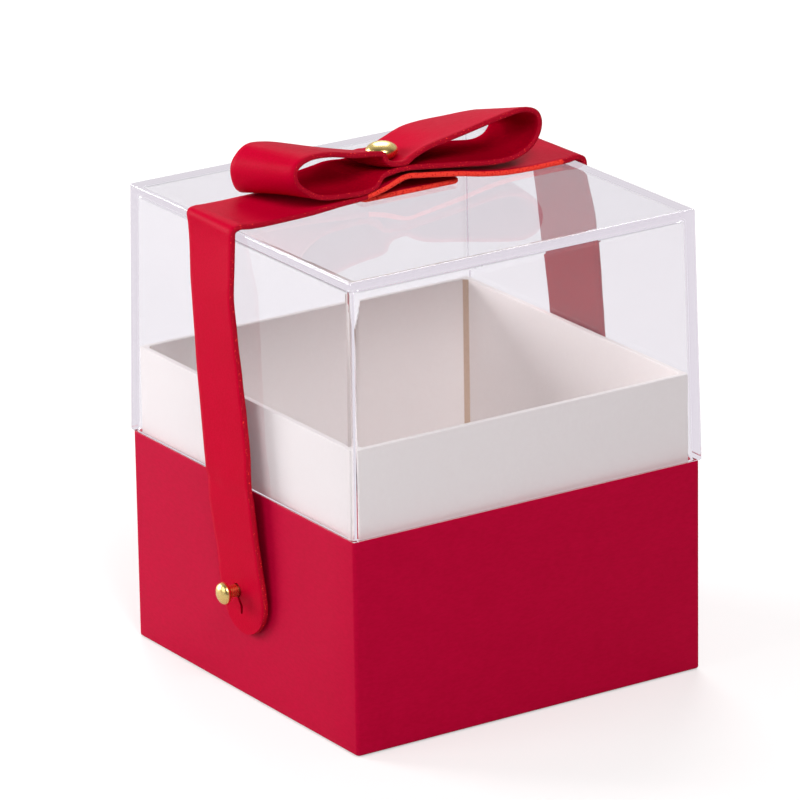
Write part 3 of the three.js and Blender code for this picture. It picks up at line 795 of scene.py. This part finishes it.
# That distance between the rows of the table, s from -1 at the near edge to 1 at the far one
def stand_off(height, s):
    height = min(max(height / MM, STAND_OFF[-1][0]), STAND_OFF[0][0])
    for (h1, near1, far1), (h0, near0, far0) in zip(STAND_OFF, STAND_OFF[1:]):
        if h0 <= height <= h1:
            t = (height - h0) / (h1 - h0)
            t = t * t * (3 - 2 * t)
            near = near0 + (near1 - near0) * t
            far = far0 + (far1 - far0) * t
            return ((1 - s) / 2 * near + (1 + s) / 2 * far) * MM


# The face of the box at a height: the lid's drafted side above the rim, the base's below it
def side_face(z):
    return BASE_HALF if z < BASE_TOP else lid_half(z)


# One half of the strap, from the centre stud over the lid's edge down to its round tip
def strap_half(side):
    name = "right" if side > 0 else "left"
    half = STRAP_WIDTH / 2
    mid = LEATHER / 2
    top_half = LID_HALF - LID_DRAFT
    curve = smooth_rows([[STUD_X + reach * HUMP_REACH, share, curl] for reach, share, curl in HUMP],
                        STRAP_STEPS)
    _, peak, peak_curl = min(curve, key=lambda c: abs(c[0] - STUD_X))
    over = [c for c in curve if (c[0] - STUD_X) * side > FIRST_ROW]
    over.sort(key=lambda c: c[0] * side)
    stack = STRAP_SEAT - LID_TOP - STRAP_REST
    rows = []
    for x, share, curl in [[STUD_X, peak, peak_curl], *over]:
        z = LID_TOP + STRAP_REST + stack * share + mid
        lift = curl * HUMP_CURL
        rows.append([Vector((x, STRAP_Y + s * half, z + lift * min(s, 0) ** 2)) for s in ACROSS])
    # The hanging end runs aslant from the edge to the tip, past the side stud
    drop = LID_TOP - SIDE_STUD_Z
    reach = math.hypot(drop, STRAP_Y)
    slant = math.atan(STRAP_Y / drop) + math.asin(TIP_SHIFT / reach)
    length = math.sqrt(reach * reach - TIP_SHIFT * TIP_SHIFT)
    tip_y = -TIP_SHIFT * math.cos(slant)
    tip_z = SIDE_STUD_Z + TIP_SHIFT * math.sin(slant)

    # A point on the side at a distance up from the stud, s across the strap
    def on_side(along, s, width=half):
        a = s * width
        straight = min(1.0, max(0.0, (along - (length - SQUARE_FROM)) / SQUARE_OVER))
        y = tip_y + a * math.cos(slant) + along * math.sin(slant)
        z = tip_z + along * math.cos(slant) - a * math.sin(slant) * (1 - straight)
        z = min(z, LID_TOP - SQUARE_DOWN) if straight >= 1 else z
        x = side_face(z) + mid + stand_off(along, s * width / half)
        return Vector((side * x, y, z))

    # Over the edge: the strip leaves the lid a little before its edge and rounds it
    keys = [rows[-2], rows[-1]]
    for place, lift_near, lift_far in BEND:
        x = side * (top_half + place * MM)
        lifts = [((1 - s) / 2 * lift_near + (1 + s) / 2 * lift_far) * MM for s in ACROSS]
        keys.append([Vector((x, STRAP_Y + s * half, LID_TOP + mid + STRAP_REST + lift))
                     for s, lift in zip(ACROSS, lifts)])
    outside = [top_half + mid + BEND_OUT + stand_off(length, s) * BEND_STAND_OFF for s in ACROSS]
    keys.append([Vector((side * x, STRAP_Y + s * half, LID_TOP + BEND_UP)) for s, x in zip(ACROSS, outside)])
    for below in SIDE_KEYS:
        keys.append([on_side(length - below, s) for s in ACROSS])
    rows = rows[:-1] + smooth_rows(keys, STRAP_STEPS)[STRAP_STEPS:]
    along = length - SIDE_KEYS[-1]
    while along > ROW_PITCH:
        along -= ROW_PITCH
        rows.append([on_side(along, s) for s in ACROSS])
    for i in range(TIP_STEPS + 1):
        angle = math.radians(TIP_TURN * i / TIP_STEPS)
        rows.append([on_side(-half * math.sin(angle), s, half * math.cos(angle)) for s in ACROSS])
    made = leather_strip(f"{name}_strap", rows, closed=False, flip=side < 0)
    # On the lid the near edge shows the raw cut edge, except towards the left fold, where the darker inked
    # edge stays on as painted shade under the left loop
    for face in made.data.polygons:
        place = face.center
        raw = RAW_EDGE_START_PAST_SHADE < place.x < RAW_EDGE_END and place.y < STRAP_Y and place.z > LID_TOP
        if face.material_index == INKED_SHADED_EDGE and raw:
            face.material_index = RAW_EDGE
    # Holes for the centre stud's neck and the side stud's, and the slit that opens over the ball
    axis = Vector((STUD_X, STRAP_Y, LID_TOP))
    cut(made, post(CENTRE_HOLE_RADIUS, axis, axis + Vector((0, 0, CENTRE_CUTTER_LENGTH))))
    stud_place = Vector((side * BASE_HALF, 0, SIDE_STUD_Z))
    out = Vector((side, 0, 0))
    cut(made, post(BUTTON_HOLE_RADIUS, stud_place, stud_place + out * SIDE_CUTTER_LENGTH))
    rings = []
    for depth in (0, SIDE_CUTTER_LENGTH):
        rings.append([])
        for a, b in SLIT:
            y = a * MM * math.cos(slant) + b * MM * math.sin(slant)
            z = b * MM * math.cos(slant) - a * MM * math.sin(slant)
            rings[-1].append(stud_place + out * depth + Vector((0, y, z)))
    cut(made, prism(*rings, LEATHER_BACK, inside_out=side < 0))
    replaced = [f"{name}_strap_end"] + (["strap_top_run"] if side < 0 else [])
    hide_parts(*replaced)
    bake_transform(made)


# Patch on the lid under the strap, its edge left raw
def patch():
    centre = (PATCH_LOW + PATCH_HIGH) / 2
    half_x = (PATCH_HIGH.x - PATCH_LOW.x) / 2
    half_y = (PATCH_HIGH.y - PATCH_LOW.y) / 2
    levels = [(CUT_EDGE, PATCH_LOW.z), (0, PATCH_LOW.z + CUT_EDGE), (0, PATCH_HIGH.z - CUT_EDGE),
              (CUT_EDGE, PATCH_HIGH.z)]
    points = []
    for inset, z in levels:
        for cx, cy, quarter in ((1, 1, 0), (-1, 1, 1), (-1, -1, 2), (1, -1, 3)):
            for i in range(PATCH_CORNER_STEPS + 1):
                angle = (quarter + i / PATCH_CORNER_STEPS) * math.pi / 2
                x = centre.x + cx * (half_x - PATCH_CORNER) + (PATCH_CORNER - inset) * math.cos(angle)
                y = centre.y + cy * (half_y - PATCH_CORNER) + (PATCH_CORNER - inset) * math.sin(angle)
                points.append(Vector((x, y, z)))
    count = 4 * (PATCH_CORNER_STEPS + 1)
    top = (len(levels) - 1) * count
    faces = []
    indexes = []
    for a in range(0, top, count):
        for j in range(count):
            k = (j + 1) % count
            faces.append((a + j, a + k, a + count + k, a + count + j))
            indexes.append(RAW_EDGE)
    faces += [tuple(reversed(range(count))), tuple(range(top, top + count))]
    indexes += [BACK, FACE]
    made = new_piece("stud_patch_cut", points, faces, LEATHER_MATERIALS, indexes, LEATHER_CREASE)
    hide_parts("stud_patch")
    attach(made, "lid")


# Bow: one strip in two loops, pinched under the centre stud. Its middle surface is drawn by one
# closed line along its near edge and one along its far edge, as matching points in millimetres
# from the stud's axis and above the strap. The left loop leans back, the right one sinks at the back.
BOW_SEAT = STRAP_SEAT + LEATHER + LAYER_GAP
LEFT_UNDER = [
    ((0, 3.05), (0, 0.95)), ((-3.2, 2.8), (-3.6, 0.6)), ((-5.5, 2.3), (-6.7, 0.8)), ((-6.6, 1), (-8.8, 0.8)),
    ((-7.8, 0), (-10.9, 0.5)), ((-11, -0.5), (-14.6, 0)), ((-17.7, -0.1), (-20.1, -0.9)),
    ((-21.7, 0.8), (-24.6, -1.5)),
]
LEFT_OVER = [
    ((-25.5, 3.4), (-28.8, -1)), ((-26.8, 5.9), (-30.4, 2)), ((-26, 8), (-30.1, 5.2)),
    ((-23, 9.2), (-27.1, 7.8)), ((-18.5, 9.1), (-22.5, 7.6)), ((-12.6, 7.9), (-16.7, 6.1)),
    ((-7.2, 7.3), (-11.6, 4.5)), ((-5.4, 6.8), (-6.7, 3.2)), ((-4.8, 5.4), (-4, 2.5)),
    ((-3, 4.4), (-1.8, 2)),
]
RIGHT_OVER = [
    ((0, 4.25), (0, 2.15)), ((2, 5.4), (2.3, 2.1)), ((5.6, 6.6), (6.3, 3.4)), ((10.6, 7.4), (10.7, 4.9)),
    ((15.6, 8.3), (15.4, 5.4)), ((20.6, 9.3), (21.4, 5.4)), ((25.2, 10.1), (27.1, 5.4)),
    ((29.2, 10.4), (30.7, 5.1)), ((32.2, 9.3), (32.7, 3.9)), ((33.2, 7), (33.4, 2.3)),
]
RIGHT_UNDER = [
    ((32.5, 4.3), (32.7, 0.8)), ((30.5, 2), (31.1, -0.4)), ((26.6, 0.5), (28.1, -0.9)),
    ((21.6, 0.3), (23, -0.3)), ((14.3, 1.2), (15.4, 0.4)), ((6.6, 2.2), (6.3, 0.9)),
]
PINCH_REACH = 5 * MM
BOW_CUTTER_LENGTH = 7.5 * MM


def bow():
    rows = []
    layers = ((LEFT_UNDER, 0), (LEFT_OVER, 1), (RIGHT_OVER, 1), (RIGHT_UNDER, 0))
    for pair, layer in [(pair, layer) for pairs, layer in layers for pair in pairs]:
        near, far = [Vector((STUD_X + x * MM, y, BOW_SEAT + z * MM))
                     for (x, z), y in zip(pair, (BOW_LOW.y, BOW_HIGH.y))]
        middle = (near + far) / 2
        pinch = math.exp(-(((middle.x - STUD_X) / PINCH_REACH) ** 2))
        seat = BOW_SEAT + LEATHER / 2 + LAYER_GAP + layer * (LEATHER + LAYER_GAP)
        middle.z += (seat - middle.z) * pinch
        rows.append([near * ((s * s - s) / 2) + middle * (1 - s * s) + far * ((s * s + s) / 2)
                     for s in ACROSS])
    made = leather_strip("bow_looped", smooth_rows(rows, BOW_STEPS, closed=True), closed=True)
    axis = Vector((STUD_X, STRAP_Y, LID_TOP))
    cut(made, post(CENTRE_HOLE_RADIUS, axis, axis + Vector((0, 0, BOW_CUTTER_LENGTH))))
    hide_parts("bow_strip")
    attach(made, "lid")


# Node tree of a ball stud that stands on height 0: a flattened ball on a neck with a narrow foot.
# Returns the tree and its inputs' identifiers by name.
def stud_tree():
    tree = bpy.data.node_groups.new("ball_stud", "GeometryNodeTree")
    names = ("Ball", "Thickness", "Neck", "Reach", "Foot")
    inputs = {name: tree.interface.new_socket(name, socket_type="NodeSocketFloat").identifier
              for name in names}
    tree.interface.new_socket("Geometry", in_out="OUTPUT", socket_type="NodeSocketGeometry")
    given = add(tree, "NodeGroupInput").outputs
    ball_radius = add(tree, "ShaderNodeMath", {0: given["Ball"], 1: 0.5}, operation="MULTIPLY").outputs[0]
    flat = add(tree, "ShaderNodeMath", {0: given["Thickness"], 1: given["Ball"]}, operation="DIVIDE")
    sphere = add(tree, "GeometryNodeMeshUVSphere", {"Segments": 64, "Rings": 32, "Radius": ball_radius})
    squeeze = add(tree, "ShaderNodeCombineXYZ", {0: 1.0, 1: 1.0, 2: flat.outputs[0]})
    rise = add(tree, "ShaderNodeCombineXYZ", {2: given["Reach"]})
    ball = add(tree, "GeometryNodeTransform", {"Geometry": sphere.outputs[0], "Scale": squeeze.outputs[0],
                                               "Translation": rise.outputs[0]})
    union = add(tree, "GeometryNodeMeshBoolean", operation="UNION", solver="MANIFOLD")
    tree.links.new(ball.outputs[0], union.inputs[1])
    neck_radius = add(tree, "ShaderNodeMath", {0: given["Neck"], 1: 0.5}, operation="MULTIPLY").outputs[0]
    foot_radius = add(tree, "ShaderNodeMath", {0: neck_radius, 1: FOOT_FLARE}, operation="ADD").outputs[0]
    for radius, depth in ((neck_radius, given["Reach"]), (foot_radius, given["Foot"])):
        middle = add(tree, "ShaderNodeMath", {0: depth, 1: 0.5}, operation="MULTIPLY").outputs[0]
        lift = add(tree, "ShaderNodeCombineXYZ", {2: middle})
        post_mesh = add(tree, "GeometryNodeMeshCylinder", {"Vertices": 48, "Radius": radius, "Depth": depth})
        stood = add(tree, "GeometryNodeTransform", {"Geometry": post_mesh.outputs[0],
                                                    "Translation": lift.outputs[0]})
        tree.links.new(stood.outputs[0], union.inputs[1])
    whole = add(tree, "GeometryNodeRealizeInstances", {0: union.outputs[0]})
    finish = add(tree, "GeometryNodeSetMaterial", {"Geometry": whole.outputs[0], "Material": GOLD})
    add(tree, "NodeGroupOutput", {0: finish.outputs[0]})
    return tree, inputs


# One stud from the tree, stood on its foot along its axis
def stud(tree, inputs, name, node, body, foot, axis, sizes):
    made = new_piece(name, [], [], [])
    modifier = made.modifiers.new("ball_stud", "NODES")
    modifier.node_group = tree
    for key, value in sizes.items():
        modifier[inputs[key]] = value
    evaluated = made.evaluated_get(bpy.context.evaluated_depsgraph_get())
    mesh = bpy.data.meshes.new_from_object(evaluated)
    made.modifiers.clear()
    turn = Vector((0, 0, 1)).rotation_difference(axis).to_matrix().to_4x4()
    mesh.transform(Matrix.Translation(foot) @ turn)
    mesh.polygons.foreach_set("use_smooth", [True] * len(mesh.polygons))
    mesh.set_sharp_from_angle(angle=math.radians(STUD_CREASE))
    mesh.name = name
    made.data = mesh
    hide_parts(node)
    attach(made, body)


# The centre stud, and one on each of two sides of the base
def studs():
    tree, inputs = stud_tree()
    low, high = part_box("centre_stud")
    foot = Vector((STUD_X, STRAP_Y, low.z))
    sizes = {"Ball": high.x - low.x, "Thickness": CENTRE_BALL_THICKNESS, "Neck": CENTRE_NECK,
             "Reach": high.z - low.z - CENTRE_BALL_THICKNESS / 2, "Foot": STUD_FOOT}
    stud(tree, inputs, "centre_ball_stud", "centre_stud", "lid", foot, Vector((0, 0, 1)), sizes)
    for name, side in (("left", -1), ("right", 1)):
        low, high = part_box(f"{name}_stud")
        foot = Vector((side * BASE_HALF, 0, SIDE_STUD_Z))
        reach = max(abs(low.x), abs(high.x)) - BASE_HALF
        sizes = {"Ball": high.z - low.z, "Thickness": SIDE_BALL_THICKNESS, "Neck": SIDE_NECK,
                 "Reach": reach - SIDE_BALL_THICKNESS / 2, "Foot": STUD_FOOT}
        stud(tree, inputs, f"{name}_ball_stud", f"{name}_stud", "base", foot, Vector((side, 0, 0)), sizes)


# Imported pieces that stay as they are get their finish
def finish_packed_pieces():
    finishes = {
        "base_front_board": BOARD_GREY, "base_back_board": BOARD_GREY, "base_bottom_board": BOARD_GREY,
        "base_left_board": BOARD_GREY, "base_right_board": BOARD_GREY, "bottom_sheet": PAPER_RED,
        "floor_card": BOARD_WHITE, "centre_stud_screw": GOLD, "left_stud_screw": GOLD,
        "right_stud_screw": GOLD,
    }
    for name, material in finishes.items():
        mesh = nodes[name].data
        mesh.materials.clear()
        mesh.materials.append(material)


cover_paper()
collar()
lid()
strap_half(-1)
strap_half(1)
patch()
bow()
studs()
finish_packed_pieces()

scene.view_settings.view_transform = "Standard"
